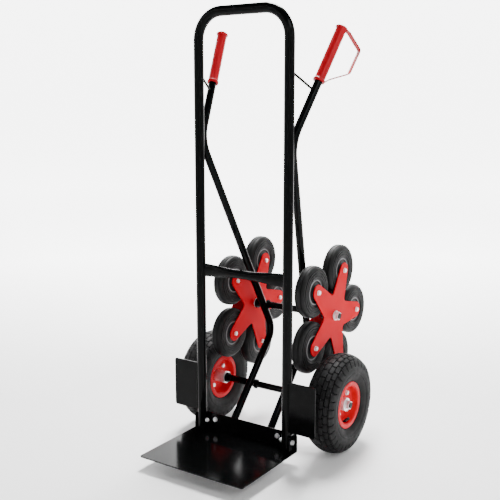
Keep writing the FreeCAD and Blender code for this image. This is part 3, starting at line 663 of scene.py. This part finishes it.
def guard_welds(side):
    """Each wheel guard is welded to its leg down both of its faces."""
    low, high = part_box("wheel_guard_" + side)
    sign = SIDES[side]
    leg = centre_of("hoop_frame")
    leg_low, leg_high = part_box("hoop_frame")
    tube = (leg_high.y - leg_low.y) / 2
    leg_x = leg_high.x - tube
    for label, y in (("front", low.y), ("back", high.y)):
        x = leg_x + math.sqrt(max(tube ** 2 - (y - leg.y) ** 2, 0.0))
        ends = [(sign * x, y, low.z + GUARD_WELD_INSET), (sign * x, y, high.z - GUARD_WELD_INSET)]
        weld_bead("guard_weld_{}_{}".format(label, side), ends, False)


def cross_tube_welds(side):
    """An oval bead where the flattened cross tube meets the leg."""
    low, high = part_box("cross_tube")
    middle = (low + high) / 2
    leg_low, leg_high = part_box("hoop_frame")
    tube = (leg_high.y - leg_low.y) / 2
    half_height = (high.z - low.z) / 2 - BEAD_RADIUS
    points = []
    for step in range(CROSS_WELD_STEPS):
        angle = math.tau * step / CROSS_WELD_STEPS
        y = CROSS_WELD_HALF_DEPTH * math.sin(angle)
        x = leg_high.x - tube - math.sqrt(tube ** 2 - y ** 2)
        points.append((SIDES[side] * x, middle.y + y, middle.z + half_height * math.cos(angle)))
    weld_bead("cross_tube_weld_" + side, points, True)


# ---- carried-over frame parts ----

def soften_edges(node, size):
    """Round a CAD part's sharp edges, as press work and plating leave them."""
    piece = frame["nodes"][node]
    weld = piece.modifiers.new("join", "WELD")
    weld.merge_threshold = BEVEL_WELD
    bevel = piece.modifiers.new("edges", "BEVEL")
    bevel.width = size * MM
    bevel.segments = 2
    bevel.limit_method = "ANGLE"
    bevel.angle_limit = BEVEL_FROM_ANGLE
    bevel.use_clamp_overlap = True
    bevel.harden_normals = True


def finish_frame():
    slots = {entry["node"]: entry["material_slot"] for entry in frame["record"]["subparts"]}
    for node, piece in frame["nodes"].items():
        piece.data.materials.clear()
        piece.data.materials.append(FINISHES[slots[node]])
    for node, size in BEVELS.items():
        soften_edges(node, size)


# ---- stage ----

def studio_floor():
    """A pale bowl: flat under the trolley and curving up far away on every side."""
    profile = [(radius, 0.0) for radius in BOWL_FLAT_RADII]
    for degrees in range(10, 91, 10):
        angle = math.radians(degrees)
        profile.append((BOWL_FLAT_RADII[-1] + BOWL_CURVE_R * math.sin(angle),
                        BOWL_CURVE_R * (1 - math.cos(angle))))
    profile.append((BOWL_FLAT_RADII[-1] + BOWL_CURVE_R, BOWL_TOP))
    mesh = bmesh.new()
    rows = []
    for radius, height in profile:
        row = []
        for step in range(BOWL_STEPS):
            angle = math.tau * step / BOWL_STEPS
            row.append(mesh.verts.new((radius * math.cos(angle), radius * math.sin(angle), height)))
        rows.append(row)
    mesh.faces.new(rows[0])
    skin(mesh, rows)
    floor = finished("studio_floor", mesh)
    floor.data.materials.append(floor_material())


def soft_light(name, place_at, target, size, power):
    data = bpy.data.lights.new(name, "AREA")
    data.shape = "RECTANGLE"
    data.size, data.size_y = size
    data.energy = power
    lamp = bpy.data.objects.new(name, data)
    lamp.location = place_at
    lamp.rotation_euler = (Vector(target) - Vector(place_at)).to_track_quat("-Z", "Y").to_euler()
    bpy.context.scene.collection.objects.link(lamp)


def lights():
    for name, place_at, size, power in LIGHTS:
        soft_light(name, place_at, LIGHT_TARGET, size, power)
    world = bpy.data.worlds.new("studio")
    world.use_nodes = True
    world.node_tree.nodes["Background"].inputs["Color"].default_value = (1.0, 1.0, 1.0, 1.0)
    world.node_tree.nodes["Background"].inputs["Strength"].default_value = WORLD_STRENGTH
    bpy.context.scene.world = world


def camera():
    data = bpy.data.cameras.new("photo_camera")
    data.lens = CAMERA_LENS
    data.sensor_width = CAMERA_SENSOR
    view = bpy.data.objects.new("photo_camera", data)
    view.location = CAMERA_PLACE
    view.rotation_euler = (math.pi / 2 - CAMERA_PITCH, 0.0, CAMERA_TURN)
    bpy.context.scene.collection.objects.link(view)
    bpy.context.scene.camera = view


FINISHES = slot_materials()
finish_frame()
for side_name in SIDES:
    tread_tyre(side_name)
    rims(side_name)
    hand_grip(side_name)
    valve_cap(side_name)
    guard_welds(side_name)
    cross_tube_welds(side_name)
    for wheel_number in STAR_WHEELS:
        star_wheel(side_name, wheel_number)
studio_floor()
lights()
camera()
